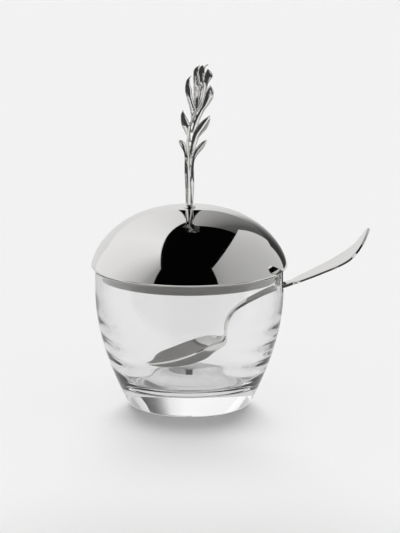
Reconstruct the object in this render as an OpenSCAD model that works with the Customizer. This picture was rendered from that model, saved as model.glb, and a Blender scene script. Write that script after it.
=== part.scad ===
// Jam pot: a thick glass pot with a notch in its rim, a domed lid with a leaf
// for a finial, and a spoon whose stem lies in the notch.
// Origin at the centre of the foot, +Z up, +X out through the notch.

/* [Glass pot] */
// Height of the pot, from the table to its rim
pot_h = 69; // [65:0.5:75]
// Outer radius of the pot at its mouth
mouth_r = 46.2; // [43:0.2:50]
// Radius of the flat foot that the pot stands on
foot_r = 29.5; // [26:0.5:33]
// Height at which the curved side becomes upright
upright_h = 56; // [51:1:58]
// How sharply the side turns in towards the foot
side_power = 1.8; // [1.5:0.1:2.1]
// Wall thickness at the mouth
wall_t = 3; // [2.6:0.1:3.6]
// Extra wall thickness low down, beside the floor
wall_gain = 1.4; // [0.6:0.2:2.4]
// Thickness of the base where it is thinnest, in the ring round the floor
base_t = 11.3; // [9:0.1:14]
// How far the middle of the floor rises above that ring
floor_rise = 7; // [5:0.1:8]
// How flat the risen middle is
floor_power = 2.1; // [1.8:0.1:2.6]
// Radius of the corner between the floor and the wall
floor_corner_r = 5.5; // [4:0.5:8]
// Rounding of the two edges of the rim
rim_edge_r = 0.9; // [0.6:0.1:1.1]
// Rounding of the edge of the foot
foot_edge_r = 3; // [2:0.1:3.6]

/* [Notch for the spoon] */
// Width of the notch
notch_w = 10.5; // [9:0.5:13]
// Depth of the notch below the rim
notch_depth = 11; // [9:0.2:13]
// Radius of its two bottom corners
notch_corner_r = 2; // [1:0.25:2.5]

/* [Lid] */
// Height of the dome above its widest ring
dome_h = 28.9; // [24:0.1:36]
// How far the dome stands out past the side of the pot
dome_overhang = 1.8; // [1.4:0.1:2.6]
// Thickness of the spun sheet
sheet_t = 1; // [0.7:0.1:1.2]
// Height of the rolled edge below the widest ring
roll_h = 0.7; // [0.6:0.05:0.9]
// Flatness of the crown
crown_power = 2.45; // [2.1:0.05:2.8]
// Fullness of the shoulder
shoulder_power = 1.52; // [1.3:0.02:1.9]
// How far the collar reaches down into the mouth
collar_drop = 4.9; // [4:0.1:6]
// Gap between the collar and the inside of the mouth
collar_gap = 0.4; // [0.3:0.05:0.6]
// Gap left for solder between the dome's edge and the collar
solder_gap = 0.05; // [0.03:0.01:0.1]

/* [Finial and its fixing] */
// Height of the leaf above its foot
leaf_h = 70.6; // [58:0.2:84]
// Width of the leaf from its outermost lobe on the left to that on the right
leaf_w = 17.6; // [14:0.2:24]
// Thickness of the blade beside the rib
leaf_t = 1.3; // [1:0.1:1.8]
// Diameter of the rib at its bottom
rib_d = 3; // [2.4:0.1:3.6]
// Radius of the turned foot under the leaf
disc_r = 3; // [2.6:0.1:4.2]
// Height of that foot
disc_h = 0.9; // [0.7:0.1:2]
// Radius of the stud that holds the leaf
stud_r = 1.5; // [1.2:0.1:1.8]
// Gap round the stud in the pieces that it passes through
stud_gap = 0.2; // [0.1:0.05:0.3]
// Gap round the stud in the nut
thread_gap = 0.05; // [0.03:0.01:0.1]
// Radius of the washer under the dome
washer_r = 5; // [4.2:0.1:6]
// Thickness of the washer
washer_t = 0.8; // [0.6:0.1:1.2]
// Width of the nut across its flats
nut_w = 5.5; // [5:0.1:7]
// Height of the nut's hexagon
nut_h = 2.4; // [2:0.1:3.2]

/* [Spoon] */
// Greatest width of the bowl
bowl_w = 21; // [18:0.5:26]
// Depth of the bowl
bowl_depth = 6.4; // [5:0.2:7.6]
// Thickness of the metal in the bowl
bowl_t = 1.1; // [0.9:0.1:1.4]
// Width of the stem in the notch
stem_w = 5.6; // [4.8:0.1:6.4]
// Thickness of the stem
stem_t = 1.5; // [1.3:0.1:2]
// Greatest width of the handle
handle_w = 18; // [14:0.5:21]
// Thickness of the handle
handle_t = 1.2; // [1:0.1:1.6]
// How far the handle reaches out past the pot
handle_reach = 41.6; // [34:0.2:50]
// How far its tip stands above the stem in the notch
handle_rise = 29.7; // [22:0.1:34]
// How far the loose spoon leans over to the front, in degrees
spoon_lean = 6; // [0:0.5:8]
// Gap under the spoon where it rests on the glass
rest_gap = 0.2; // [0.1:0.05:0.3]

/* [Hidden] */
round_fn = 96;
small_fn = 48;
// Overrun of every cut past the face it starts from
cut_over = 0.5;

dome_r = mouth_r + dome_overhang;
notch_z = pot_h - notch_depth;
inner_r = mouth_r - wall_t;
// The dome's edge turns in until it stands over the rounded outer edge of the rim
edge_r = mouth_r - rim_edge_r / 4;
collar_r = inner_r - collar_gap;
// The floor falls from its risen middle to a ring of this radius
ring_r = cavity_r(base_t);
ring_z = pot_h + roll_h;
apex_z = ring_z + dome_h;
leaf_z = apex_z + disc_h;
// The flat washer touches the dome's inside with its rim
nut_z = ring_z + dome_z(washer_r, dome_r - sheet_t, dome_h - sheet_t) - washer_t;
// The cap closes the nut with a low dome
nut_cap_h = nut_w * 0.36;
nut_bore_h = nut_h + nut_cap_h * 0.4;

// Radius of the pot's outer side at height z
function side_r(z) =
    foot_r + (mouth_r - foot_r) * (1 - pow(1 - min(1, z / upright_h), side_power));

// Wall thickness at height z, heavier towards the floor
function wall_at(z) =
    wall_t + wall_gain * max(0, 1 - (z - base_t) / (upright_h - base_t));

// Radius of the cavity at height z, down to the ring where the base is thinnest
function cavity_r(z) =
    let (rise = min(floor_corner_r, z - base_t), back = floor_corner_r - rise)
    side_r(z) - wall_at(z) - floor_corner_r + sqrt(pow(floor_corner_r, 2) - pow(back, 2));

// Height of the floor at distance d from the axis, risen in the middle
function floor_z(d) =
    base_t + floor_rise * (1 + cos(180 * pow(min(1, d / ring_r), floor_power))) / 2;

// Points of an arc of radius r about c, from angle a0 to a1
function arc(c, r, a0, a1, steps) =
    [for (i = [0:steps]) let (a = a0 + (a1 - a0) * i / steps) c + r * [cos(a), sin(a)]];

// Half section of the pot, up the outside and down the inside
module pot_section(side_steps = 22, wall_steps = 14, corner_steps = 6, edge_steps = 4, floor_steps = 14) {
    // How fast the side draws in where it meets the rounded edge of the foot
    foot_lean = (mouth_r - foot_r) * side_power / upright_h
        * pow(1 - foot_edge_r / upright_h, side_power - 1);
    foot_low = side_r(foot_edge_r) - foot_edge_r * norm([1, foot_lean]);
    corner_z = base_t + floor_corner_r;
    polygon(concat(
        [[0, 0]],
        arc([foot_low, foot_edge_r], foot_edge_r, -90, -atan(foot_lean), edge_steps),
        [for (i = [1:side_steps])
            let (z = foot_edge_r + (upright_h - foot_edge_r) * pow(i / side_steps, 1.1)) [side_r(z), z]],
        arc([mouth_r - rim_edge_r, pot_h - rim_edge_r], rim_edge_r, 0, 90, edge_steps),
        arc([inner_r + rim_edge_r, pot_h - rim_edge_r], rim_edge_r, 90, 180, edge_steps),
        [for (i = [0:wall_steps])
            let (z = upright_h - (upright_h - corner_z) * i / wall_steps) [cavity_r(z), z]],
        [for (i = [1:corner_steps])
            let (z = base_t + floor_corner_r * (1 - sin(90 * i / corner_steps))) [cavity_r(z), z]],
        [for (i = [1:floor_steps])
            let (d = ring_r * (1 - i / floor_steps)) [d, floor_z(d)]]
    ));
}

// The notch, an upright slot with rounded bottom corners, seen along X
module notch_outline() {
    corner = min(notch_corner_r, (notch_w - stem_w) / 2);
    top = notch_depth + cut_over;
    translate([-notch_w / 2, corner]) square([notch_w, top - corner]);
    translate([corner - notch_w / 2, 0]) square([notch_w - 2 * corner, top]);
    for (side = [-1, 1])
        translate([side * (notch_w / 2 - corner), corner]) circle(r = corner, $fn = small_fn);
}

module glass_pot() {
    color([0.86, 0.9, 0.92, 0.35])
        difference() {
            rotate_extrude($fn = round_fn) pot_section();
            translate([inner_r / 2, 0, notch_z])
                rotate([90, 0, 90])
                    linear_extrude(height = inner_r / 2 + wall_t + cut_over) notch_outline();
        }
}

// Height of a dome of radius r and height h, at distance d from its axis
function dome_z(d, r, h) =
    h * pow(max(0, 1 - pow(d / r, crown_power)), 1 / shoulder_power);

// Points of that dome from its axis out to its widest ring
function dome_curve(r, h, steps) =
    [for (i = [0:steps]) let (d = r * sin(90 * i / steps)) [d, dome_z(d, r, h)]];

// Points of the rolled edge, from the widest ring down and in
function roll_curve(r, in, h, steps) =
    [for (i = [1:steps]) let (a = 90 * i / steps) [r - in * (1 - cos(a)), -h * sin(a)]];

function backwards(points) = [for (i = [len(points) - 1:-1:0]) points[i]];

module lid_dome() {
    roll_in = dome_r - edge_r;
    outside = concat(dome_curve(dome_r, dome_h, 30), roll_curve(dome_r, roll_in, roll_h, 8));
    inside = concat(
        dome_curve(dome_r - sheet_t, dome_h - sheet_t, 30),
        roll_curve(dome_r - sheet_t, roll_in - sheet_t, roll_h - sheet_t, 8)
    );
    color([0.8, 0.8, 0.8])
        translate([0, 0, ring_z])
            difference() {
                rotate_extrude($fn = round_fn) polygon(concat(outside, backwards(inside)));
                translate([0, 0, dome_h / 2])
                    cylinder(r = stud_r + stud_gap, h = dome_h, $fn = small_fn);
            }
}

// The soldered ring: a flange that lies on the rim, and a collar that drops into the mouth
module lid_collar() {
    bead_r = sheet_t / 2;
    middle_r = collar_r - bead_r;
    color([0.76, 0.76, 0.76])
        translate([0, 0, pot_h])
            rotate_extrude($fn = round_fn) {
                translate([collar_r - sheet_t, 0])
                    square([edge_r - solder_gap - collar_r + sheet_t, sheet_t]);
                translate([collar_r - sheet_t, bead_r - collar_drop])
                    square([sheet_t, collar_drop + bead_r]);
                translate([middle_r, bead_r - collar_drop]) circle(r = bead_r, $fn = small_fn);
            }
}

// Catmull-Rom curve through rows of numbers, with steps points to each stretch
function curve_row(rows, i) = rows[max(0, min(len(rows) - 1, i))];
function curve_between(a, b, c, d, t) =
    0.5 * (2 * b + (c - a) * t + (2 * a - 5 * b + 4 * c - d) * t * t
           + (3 * b - a - 3 * c + d) * t * t * t);
function curve(rows, steps) = concat(
    [for (i = [0:len(rows) - 2], k = [0:steps - 1])
        curve_between(curve_row(rows, i - 1), rows[i], rows[i + 1], curve_row(rows, i + 2), k / steps)],
    [rows[len(rows) - 1]]
);

// Skin over rings of points. Each ring runs across its front face and back across its rear face,
// and every face of the skin is counted clockwise as seen from outside.
function strip(first, n) = [for (i = [0:n / 2 - 2]) each [
    [first + i, first + n - 1 - i, first + i + 1],
    [first + i + 1, first + n - 1 - i, first + n - 2 - i]
]];
function turned(faces) = [for (f = faces) [f[2], f[1], f[0]]];
module skin(rings) {
    n = len(rings[0]);
    last = len(rings) - 1;
    sides = [for (k = [0:last - 1], i = [0:n - 1]) let (j = (i + 1) % n) each [
        [k * n + j, k * n + i, (k + 1) * n + i],
        [(k + 1) * n + j, k * n + j, (k + 1) * n + i]
    ]];
    polyhedron(
        points = [for (ring = rings) each ring],
        faces = concat(sides, turned(strip(0, n)), strip(last * n, n))
    );
}

// The leaf in rows from its foot to its tip. Each row is a share of the height, then the left edge,
// the right edge and the rib as shares of the width, then the rib's size and how far the row leans
// forward, as a share of the height. Where two lobes part, the edges draw in.
leaf_shares = [
    [0, -0.12, 0.12, 0.01, 1.1, 0], [0.07, -0.105, 0.12, 0, 1, 0], [0.15, -0.115, 0.138, -0.01, 0.92, 0.002],
    [0.23, -0.13, 0.138, -0.014, 0.86, 0.004], [0.29, -0.13, 0.126, -0.018, 0.8, 0.006],
    [0.332, -0.12, 0.16, -0.02, 0.78, 0.008], [0.375, -0.152, 0.27, -0.02, 0.74, 0.01],
    [0.411, -0.21, 0.392, -0.02, 0.72, 0.012], [0.446, -0.272, 0.476, -0.016, 0.7, 0.012],
    [0.466, -0.25, 0.48, -0.01, 0.68, 0.012], [0.482, -0.085, 0.3, -0.005, 0.66, 0.012],
    [0.505, -0.1, 0.354, 0.006, 0.64, 0.012], [0.547, -0.17, 0.47, 0.046, 0.62, 0.01],
    [0.589, -0.22, 0.56, 0.1, 0.6, 0.008], [0.63, -0.225, 0.576, 0.17, 0.58, 0.006],
    [0.652, -0.2, 0.42, 0.215, 0.57, 0.004], [0.68, 0, 0.45, 0.28, 0.55, 0.002],
    [0.718, -0.014, 0.554, 0.36, 0.52, 0], [0.761, -0.064, 0.654, 0.408, 0.5, -0.002],
    [0.803, -0.108, 0.682, 0.435, 0.47, -0.002], [0.836, -0.11, 0.612, 0.446, 0.45, 0],
    [0.858, -0.095, 0.518, 0.444, 0.43, 0.004], [0.889, -0.058, 0.6, 0.436, 0.4, 0.008],
    [0.918, 0.025, 0.648, 0.426, 0.37, 0.014], [0.946, 0.117, 0.598, 0.42, 0.34, 0.02],
    [0.974, 0.176, 0.51, 0.436, 0.3, 0.028], [0.99, 0.28, 0.52, 0.46, 0.24, 0.034],
    [1, 0.46, 0.545, 0.505, 0.16, 0.038]
];
// Across a row: share of the way from the rib to the edge, how much of the rib's round is there,
// how far the blade comes forward or goes back as a share of its reach, and how thick it is
across_shares = [
    [-1, 0, 0.34, 0.4], [-0.8, 0, 0.16, 0.8], [-0.5, 0, -0.04, 1], [-0.2, 0.12, -0.06, 1],
    [0, 1, 0, 1],
    [0.2, 0.12, -0.06, 1], [0.5, 0, -0.04, 1], [0.8, 0, 0.16, 0.8], [1, 0, 0.34, 0.4]
];
// The blade is thicker where it is narrow, so that the stem is round and strong
function blade_t(reach) = leaf_t * (1 + max(0, 1 - reach / rib_d) * 0.8);

function leaf_ring(row) =
    let (
        rib = row[3] * leaf_w,
        reach_left = rib - row[1] * leaf_w,
        reach_right = row[2] * leaf_w - rib,
        round = rib_d * row[4] / 2,
        lean = row[5] * leaf_h,
        places = [for (a = across_shares)
            let (
                reach = a[0] < 0 ? reach_left : reach_right,
                x = rib + a[0] * reach,
                middle = -lean - a[2] * reach,
                half = max(blade_t(reach) * a[3] / 2, round * a[1])
            ) [x, middle, half]]
    )
    concat(
        [for (p = places) [p[0], p[1] - p[2], row[0] * leaf_h]],
        [for (p = backwards(places)) [p[0], p[1] + p[2], row[0] * leaf_h]]
    );

module leaf_finial() {
    color([0.74, 0.74, 0.74])
        translate([0, 0, leaf_z]) skin([for (row = leaf_shares) leaf_ring(row)]);
}

module finial_foot() {
    lip = disc_h / 3;
    color([0.72, 0.72, 0.72])
        translate([0, 0, apex_z])
            difference() {
                rotate_extrude($fn = small_fn)
                    polygon(concat(
                        [[0, 0], [disc_r, 0], [disc_r, lip]],
                        arc([disc_r, disc_h], disc_h - lip, 270, 180, 5),
                        [[0, disc_h]]
                    ));
                translate([0, 0, -cut_over])
                    cylinder(r = stud_r + stud_gap, h = disc_h + 2 * cut_over, $fn = small_fn);
            }
}

module finial_stud() {
    bottom = nut_z - nut_bore_h + cut_over;
    color([0.7, 0.68, 0.62])
        translate([0, 0, bottom]) cylinder(r = stud_r, h = leaf_z - bottom, $fn = small_fn);
}

module stud_washer() {
    color([0.75, 0.75, 0.74])
        translate([0, 0, nut_z])
            difference() {
                cylinder(r = washer_r, h = washer_t, $fn = small_fn);
                translate([0, 0, -cut_over])
                    cylinder(r = stud_r + stud_gap, h = washer_t + 2 * cut_over, $fn = small_fn);
            }
}

module cap_nut() {
    hex_r = nut_w / 2 / cos(30);
    cap_r = nut_w * 0.46;
    color([0.78, 0.76, 0.7])
        translate([0, 0, nut_z])
            difference() {
                union() {
                    translate([0, 0, -nut_h]) cylinder(r = hex_r, h = nut_h, $fn = 6);
                    translate([0, 0, -nut_h])
                        rotate_extrude($fn = small_fn)
                            polygon(concat(
                                [[0, 0]],
                                [for (i = [0:6]) let (a = 15 * i) [cap_r * cos(a), -nut_cap_h * sin(a)]]
                            ));
                }
                translate([0, 0, -nut_bore_h])
                    cylinder(r = stud_r + thread_gap, h = nut_bore_h + cut_over, $fn = small_fn);
            }
}

// The spoon's middle line, in shares of the way from the axis to the notch and from floor to notch.
// Then the width as a share of the bowl's or of the stem's, and the depth as a share of the bowl's.
bowl_shares = [
    [-0.49, 0.05, 0.04, 0], [-0.48, 0.035, 0.18, 0.08], [-0.45, 0.015, 0.3, 0.27],
    [-0.4, 0, 0.47, 0.47], [-0.3, 0, 0.73, 0.7], [-0.17, 0.01, 0.93, 0.9], [-0.04, 0.03, 1, 1],
    [0.1, 0.08, 0.99, 1], [0.23, 0.14, 0.84, 0.98], [0.31, 0.19, 0.64, 0.92], [0.38, 0.245, 0.45, 0.73],
    [0.425, 0.32, 0.31, 0.37], [0.42, 0.38, 0.23, 0.06]
];
stem_shares = [
    [0.41, 0.44, 0.95], [0.415, 0.5, 0.93], [0.44, 0.58, 0.93], [0.48, 0.66, 0.93], [0.54, 0.745, 0.93],
    [0.63, 0.815, 0.93], [0.745, 0.88, 0.95], [0.86, 0.945, 0.98], [1, 1, 1]
];
// Outside, in shares of the reach and rise from the notch, then the width as a share of the stem's,
// up to the shoulder, and from there as a share of the handle's
neck_shares = [[0.11, 0.05, 1], [0.185, 0.095, 1.02]];
handle_shares = [
    [0.205, 0.11, 0.46], [0.24, 0.135, 0.54], [0.33, 0.195, 0.6], [0.42, 0.255, 0.68], [0.51, 0.32, 0.75],
    [0.6, 0.385, 0.85], [0.69, 0.46, 0.96], [0.76, 0.525, 1], [0.825, 0.605, 0.96], [0.87, 0.68, 0.88],
    [0.915, 0.775, 0.75], [0.95, 0.86, 0.58], [0.97, 0.925, 0.42], [0.99, 0.98, 0.2], [1, 1, 0.04]
];
// Height of the stem's middle in the notch, with its lower edge clear of the glass
spoon_high = notch_z + rest_gap + stem_t * 0.56 + stem_w / 2 * sin(spoon_lean);
// Height of the bowl's middle line at its lowest, so that the bowl rests on the floor
spoon_low = max([for (row = bowl_shares)
    (rest_gap + bowl_t / 2 + floor_z(abs(row[0]) * inner_r) - row[1] * spoon_high) / (1 - row[1])]);
spoon_across_shares = [-1, -0.75, -0.45, 0, 0.45, 0.75, 1];

// Stations along the spoon: place along X, height, width, depth and thickness
function inside_place(row) = [row[0] * inner_r, spoon_low + row[1] * (spoon_high - spoon_low)];
function outside_place(row) =
    [inner_r + row[0] * (wall_t + handle_reach), spoon_high + row[1] * handle_rise];
spoon_stations = concat(
    [for (row = bowl_shares) concat(inside_place(row), [row[2] * bowl_w, row[3] * bowl_depth, bowl_t])],
    [for (row = stem_shares) concat(inside_place(row), [row[2] * stem_w, 0, stem_t])],
    [for (row = neck_shares) concat(outside_place(row), [row[2] * stem_w, 0, stem_t])],
    [for (row = handle_shares) concat(outside_place(row), [row[2] * handle_w, 0, handle_t])]
);

// Ring across the spoon at row k of its stations, square to its middle line
function spoon_ring(rows, k) =
    let (
        here = rows[k],
        before = rows[max(0, k - 1)],
        after = rows[min(len(rows) - 1, k + 1)],
        step = [after[0] - before[0], after[1] - before[1]],
        way = step / norm(step),
        up = [-way[1], way[0]]
    )
    concat(
        [for (v = spoon_across_shares)
            let (lift = here[3] * v * v + here[4] / 2)
            [here[0] + up[0] * lift, -v * here[2] / 2, here[1] + up[1] * lift]],
        [for (v = backwards(spoon_across_shares))
            let (lift = here[3] * v * v - here[4] / 2)
            [here[0] + up[0] * lift, -v * here[2] / 2, here[1] + up[1] * lift]]
    );

// The spoon leans about the line from the notch to the bowl
module spoon() {
    rows = curve(spoon_stations, 2);
    notch = [inner_r, 0, spoon_high];
    color([0.78, 0.78, 0.78])
        translate(notch)
            rotate(a = spoon_lean, v = notch - [-0.2 * inner_r, 0, spoon_low])
                translate(-notch)
                    skin([for (k = [0:len(rows) - 1]) spoon_ring(rows, k)]);
}

glass_pot();
lid_dome();
lid_collar();
leaf_finial();
finial_foot();
finial_stud();
stud_washer();
cap_nut();
spoon();
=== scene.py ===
"""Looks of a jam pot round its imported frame: a glass pot, a mirror-bright lid with a leaf, and a spoon.

Every size is in millimetres unless its name says otherwise, and every mesh is made in the frame's own
axes: +Z up the pot's axis, +X out through the notch, and the leaf's front towards -Y.
"""

import logging
import math
from collections.abc import Callable, Sequence
from dataclasses import dataclass, field, replace
from enum import Enum

import bpy
import numpy as np
from mathutils import Matrix, Vector


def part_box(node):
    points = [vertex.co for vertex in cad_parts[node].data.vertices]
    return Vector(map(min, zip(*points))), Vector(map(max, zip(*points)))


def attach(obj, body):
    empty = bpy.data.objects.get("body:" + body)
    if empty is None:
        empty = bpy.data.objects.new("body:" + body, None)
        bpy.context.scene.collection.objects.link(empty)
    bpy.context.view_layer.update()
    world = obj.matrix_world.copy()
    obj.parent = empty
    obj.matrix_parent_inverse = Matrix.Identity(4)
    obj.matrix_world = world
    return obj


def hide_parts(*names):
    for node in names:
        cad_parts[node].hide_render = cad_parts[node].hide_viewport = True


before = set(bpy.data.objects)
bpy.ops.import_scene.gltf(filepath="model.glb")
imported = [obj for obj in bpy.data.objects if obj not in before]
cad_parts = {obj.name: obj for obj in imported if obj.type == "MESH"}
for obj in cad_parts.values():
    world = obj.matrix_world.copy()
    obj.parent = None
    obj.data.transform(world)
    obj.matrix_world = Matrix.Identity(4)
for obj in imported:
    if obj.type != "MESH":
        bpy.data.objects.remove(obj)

LOG = logging.getLogger("jam_pot")
MM = 0.001
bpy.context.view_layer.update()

Point2 = tuple[float, float]
Point3 = tuple[float, float, float]
Faces = list[tuple[int, ...]]
Shares = tuple[tuple[float, ...], ...]
Tones = tuple[tuple[float, str], ...]


class Body(Enum):
    """Bodies of the frame that a piece can ride on."""

    POT = "pot"
    LID = "lid"
    SPOON = "spoon"


class Slot(Enum):
    """Material slots of the record that a new piece can take its finish from."""

    GLASS = "clear_glass"
    SILVER = "polished_silver"


def linear(hex_code: str) -> tuple[float, float, float, float]:
    """Turn an sRGB hex colour into the linear colour that shaders take.

    Args:
        hex_code: colour as "#RRGGBB".

    Returns:
        Red, green, blue and an alpha of 1.
    """
    parts = [int(hex_code[i:i + 2], 16) / 255 for i in (1, 3, 5)]
    red, green, blue = (c / 12.92 if c <= 0.04045 else ((c + 0.055) / 1.055) ** 2.4 for c in parts)
    return red, green, blue, 1.0


def add_node(tree: bpy.types.NodeTree, kind: str, inputs: dict[str | int, object] | None = None,
             **settings: object) -> bpy.types.Node:
    """Add one node to a tree with its settings, and set or link its inputs.

    Args:
        tree: node tree of a material, a world or a modifier.
        kind: Blender's name for the node.
        inputs: for each input's name or number, a value, or a socket to link it to.
        **settings: the node's own settings by name.

    Returns:
        The new node.
    """
    node = tree.nodes.new(kind)
    for name, value in settings.items():
        setattr(node, name, value)
    for name, value in (inputs or {}).items():
        if isinstance(value, bpy.types.NodeSocket):
            tree.links.new(value, node.inputs[name])
        else:
            node.inputs[name].default_value = value
    return node


def new_object(name: str, data: bpy.types.ID) -> bpy.types.Object:
    """Make an object of the given data and link it to the scene.

    Args:
        name: name of the object.
        data: its mesh, camera or lamp.

    Returns:
        The object.
    """
    made = bpy.data.objects.new(name, data)
    bpy.context.scene.collection.objects.link(made)
    return made


def mesh_object(name: str, points: Sequence[Sequence[float]],
                faces: Sequence[Sequence[int]]) -> bpy.types.Object:
    """Make a smooth-shaded mesh object from points in millimetres.

    Args:
        name: name of the object and of its mesh.
        points: places of the points.
        faces: corners of each face, counted round it as seen from outside.

    Returns:
        The object, linked to the scene.
    """
    mesh = bpy.data.meshes.new(name)
    mesh.from_pydata((np.asarray(points, float) * MM).tolist(), [], [list(face) for face in faces])
    mesh.shade_smooth()
    mesh.validate()
    return new_object(name, mesh)


def evaluated_copy(name: str, source: bpy.types.Object) -> bpy.types.Object:
    """Turn an object and its modifiers into a plain mesh object, and delete the source.

    Args:
        name: name of the new object.
        source: object with live modifiers.

    Returns:
        The plain object, linked to the scene.
    """
    depsgraph = bpy.context.evaluated_depsgraph_get()
    mesh = bpy.data.meshes.new_from_object(source.evaluated_get(depsgraph))
    mesh.name = name
    bpy.data.objects.remove(source)
    return new_object(name, mesh)


def blank_material(name: str) -> tuple[bpy.types.Material, bpy.types.NodeTree, bpy.types.NodeSocket]:
    """Start a material whose patterns lie still on the piece.

    Args:
        name: name of the material.

    Returns:
        The material, its node tree, and the socket that gives the place on the object in metres.
    """
    made = bpy.data.materials.new(name)
    made.use_nodes = True
    made.node_tree.nodes.clear()
    return made, made.node_tree, add_node(made.node_tree, "ShaderNodeTexCoord").outputs["Object"]


def dress(mesh: bpy.types.Mesh, finish: bpy.types.Material) -> None:
    """Give a mesh one material in place of those that it has."""
    mesh.materials.clear()
    mesh.materials.append(finish)


def settle(piece: bpy.types.Object, body: Body, slot: Slot, finish: bpy.types.Material,
           *nodes: str) -> None:
    """Give a finished piece its material and body, and report it.

    Args:
        piece: the finished piece, at rest in the frame.
        body: the body that it moves with.
        slot: the record's slot of the piece; not used.
        finish: its material.
        *nodes: CAD nodes that it stands for.
    """
    dress(piece.data, finish)
    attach(piece, body.value)
    if nodes:
        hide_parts(*nodes)
    LOG.info("%s: %d faces, on %s, for %s", piece.name, len(piece.data.polygons), body.value, list(nodes))


def smooth_step(t: float) -> float:
    """Ease from 0 to 1 with level ends."""
    t = min(1.0, max(0.0, t))
    return t * t * (3 - 2 * t)


def curve_through(rows: Sequence[Sequence[float]], steps: int) -> np.ndarray:
    """Run a Catmull-Rom curve through rows of numbers.

    Args:
        rows: the rows, each with the same count of numbers.
        steps: points to each stretch between two rows.

    Returns:
        The curve's rows, both ends included.
    """
    knots = np.asarray(rows, float)
    knots = np.vstack([knots[0], knots, knots[-1]])
    t = np.arange(steps)[:, None] / steps
    out = []
    for a, b, c, d in zip(knots, knots[1:], knots[2:], knots[3:]):
        out.append(0.5 * (2 * b + (c - a) * t + (2 * a - 5 * b + 4 * c - d) * t ** 2
                          + (3 * b - a - 3 * c + d) * t ** 3))
    return np.vstack(out + [knots[-1:]])


def resample(rows: Sequence[Sequence[float]], count: int, fineness: int = 24) -> np.ndarray:
    """Spread points evenly along a smooth curve through the given rows.

    Args:
        rows: places that the curve passes.
        count: how many points to return.
        fineness: points to each stretch, between which the curve is taken as straight.

    Returns:
        The points, one to a row.
    """
    dense = curve_through(rows, fineness)
    along = np.concatenate([[0.0], np.cumsum(np.linalg.norm(np.diff(dense, axis=0), axis=1))])
    wanted = np.linspace(0, along[-1], count)
    return np.stack([np.interp(wanted, along, dense[:, i]) for i in range(dense.shape[1])], axis=1)


def tube_faces(rings: int, count: int) -> Faces:
    """Join rings of points, each one above the ring before it or further along.

    Args:
        rings: how many rings there are.
        count: points in each ring.

    Returns:
        One face to each pair of neighbours, facing out.
    """
    return [(k + i, k + (i + 1) % count, k + count + (i + 1) % count, k + count + i)
            for k in range(0, (rings - 1) * count, count) for i in range(count)]


def arc(centre: Point2, radius: float, start: float, end: float, steps: int) -> list[Point2]:
    """Points of an arc about a centre, both ends included, with angles in degrees from outwards to up."""
    turns = [math.radians(start + (end - start) * i / steps) for i in range(steps + 1)]
    return [(centre[0] + radius * math.cos(a), centre[1] + radius * math.sin(a)) for a in turns]


@dataclass(frozen=True)
class SilverPlate:
    """Silver plate: near-white, and as bright as the buff, the barrel or the plating bath leaves it."""

    name: str = "rouge-buffed silver plate"
    colour: str = "#F4F3F1"
    roughness: float = 0.03
    mark_mm: float = 0.35
    mark_detail: float = 3.0
    mark_tones: Point2 = (0.35, 0.75)
    gloss_shares: Point2 = (1.0, 2.2)
    mark_depth_mm: float = 0.0004
    mark_strength: float = 0.5

    def material(self) -> bpy.types.Material:
        """Build the material, whose marks break its gloss, and its surface too where they have a depth.

        Returns:
            The material.
        """
        made, tree, place = blank_material(self.name)
        marks = add_node(tree, "ShaderNodeTexNoise", {
            "Vector": place, "Scale": 1 / (self.mark_mm * MM), "Detail": self.mark_detail})
        least, most = (self.roughness * share for share in self.gloss_shares)
        gloss = add_node(tree, "ShaderNodeMapRange", {
            "Value": marks.outputs["Fac"], "From Min": self.mark_tones[0], "From Max": self.mark_tones[1],
            "To Min": least, "To Max": most})
        shader = add_node(tree, "ShaderNodeBsdfPrincipled", {
            "Base Color": linear(self.colour), "Metallic": 1.0, "Roughness": gloss.outputs["Result"]})
        if self.mark_depth_mm:
            bump = add_node(tree, "ShaderNodeBump", {
                "Height": marks.outputs["Fac"], "Distance": self.mark_depth_mm * MM,
                "Strength": self.mark_strength})
            tree.links.new(bump.outputs["Normal"], shader.inputs["Normal"])
        add_node(tree, "ShaderNodeOutputMaterial", {"Surface": shader.outputs["BSDF"]})
        return made


# A mirror with hair-fine wipe marks, on the dome's outside and the spoon.
BUFFED = SilverPlate()
# A little softer, on the leaf, because a buff doesn't reach between its lobes and a barrel does.
TUMBLED = SilverPlate("tumbled silver plate", "#F6F5F3", 0.08)
# Grey and soft with a fine grain, on the collar, because nobody buffs what sits in the mouth.
SATIN = SilverPlate("satin silver plate", "#E2E1DF", 0.7, 0.5, 2.0, (0.3, 0.7), (0.9, 1.1), 0.0)
# As the bath leaves it, with a dim sheen, on the dome's inside; its darker colour is painted shade for
# the dim inside of the dome.
PAINTED_SHADE_INSIDE = replace(SATIN, name="shade-darkened silver plate", colour="#B4B3B1", roughness=0.42)


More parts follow.
